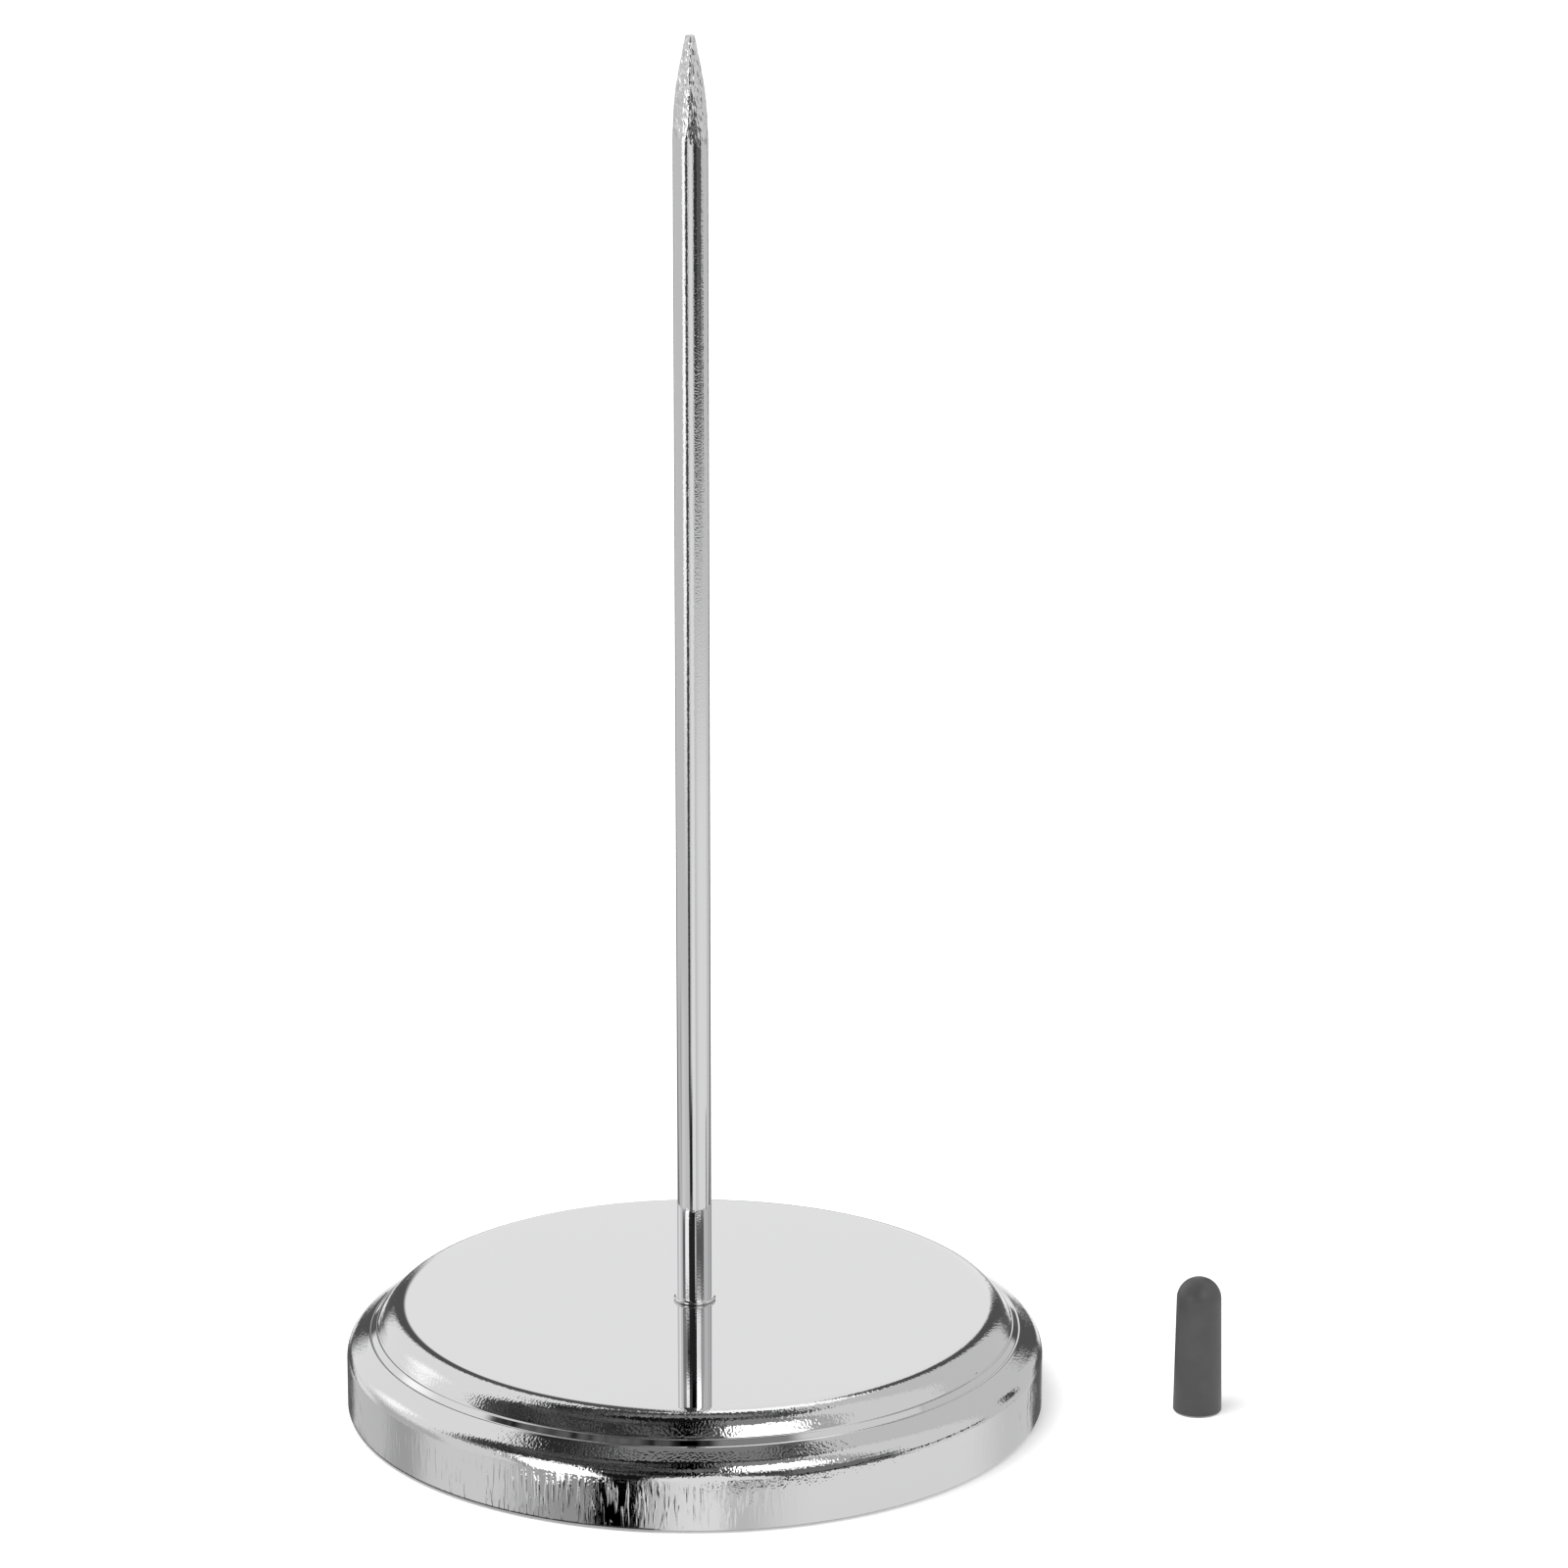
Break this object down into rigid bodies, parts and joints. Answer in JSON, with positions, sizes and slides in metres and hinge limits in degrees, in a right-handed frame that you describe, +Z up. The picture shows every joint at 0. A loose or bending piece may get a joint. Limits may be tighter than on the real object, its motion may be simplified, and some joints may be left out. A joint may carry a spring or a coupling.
{
  "type": "receipt spike",
  "caption": "Counter-top receipt spike: a round two-step chromed base with a weight inside, an upright rod with a four-sided point, and a loose soft cap for the point.",
  "frame": {"origin": "centre of the base's underside, on the counter", "axes": "+Z up along the rod to its point, +X towards the standing cap, -Y towards the user"},
  "size_m": [0.1034, 0.0822, 0.164],
  "materials": {
    "chrome_shell": "bright chrome plate on pressed steel",
    "chrome_rod": "bright chrome plate on drawn rod, ground at the point",
    "cast_weight": "rough sand-cast iron",
    "zinc_fastener": "bright zinc plate",
    "spring_steel": "dark tempered steel",
    "rubber_disc": "fine matt moulded rubber",
    "soft_cap": "satin dipped vinyl"
  },
  "bodies": {
    "stand": {"base_shell": "chrome_shell", "ballast_disc": "cast_weight", "non_slip_disc": "rubber_disc", "spike": "chrome_rod", "foot_collar": "chrome_rod", "plain_washer": "zinc_fastener", "spring_washer": "spring_steel", "hex_nut": "zinc_fastener"},
    "cap": {"tip_cap": "soft_cap"}
  },
  "joints": [
    {"name": "cap_carry", "type": "slide", "parent": "stand", "child": "cap", "axis": [-0.3132, 0.0169, 0.9495], "range_m": [0, 0.18957]}
  ]
}
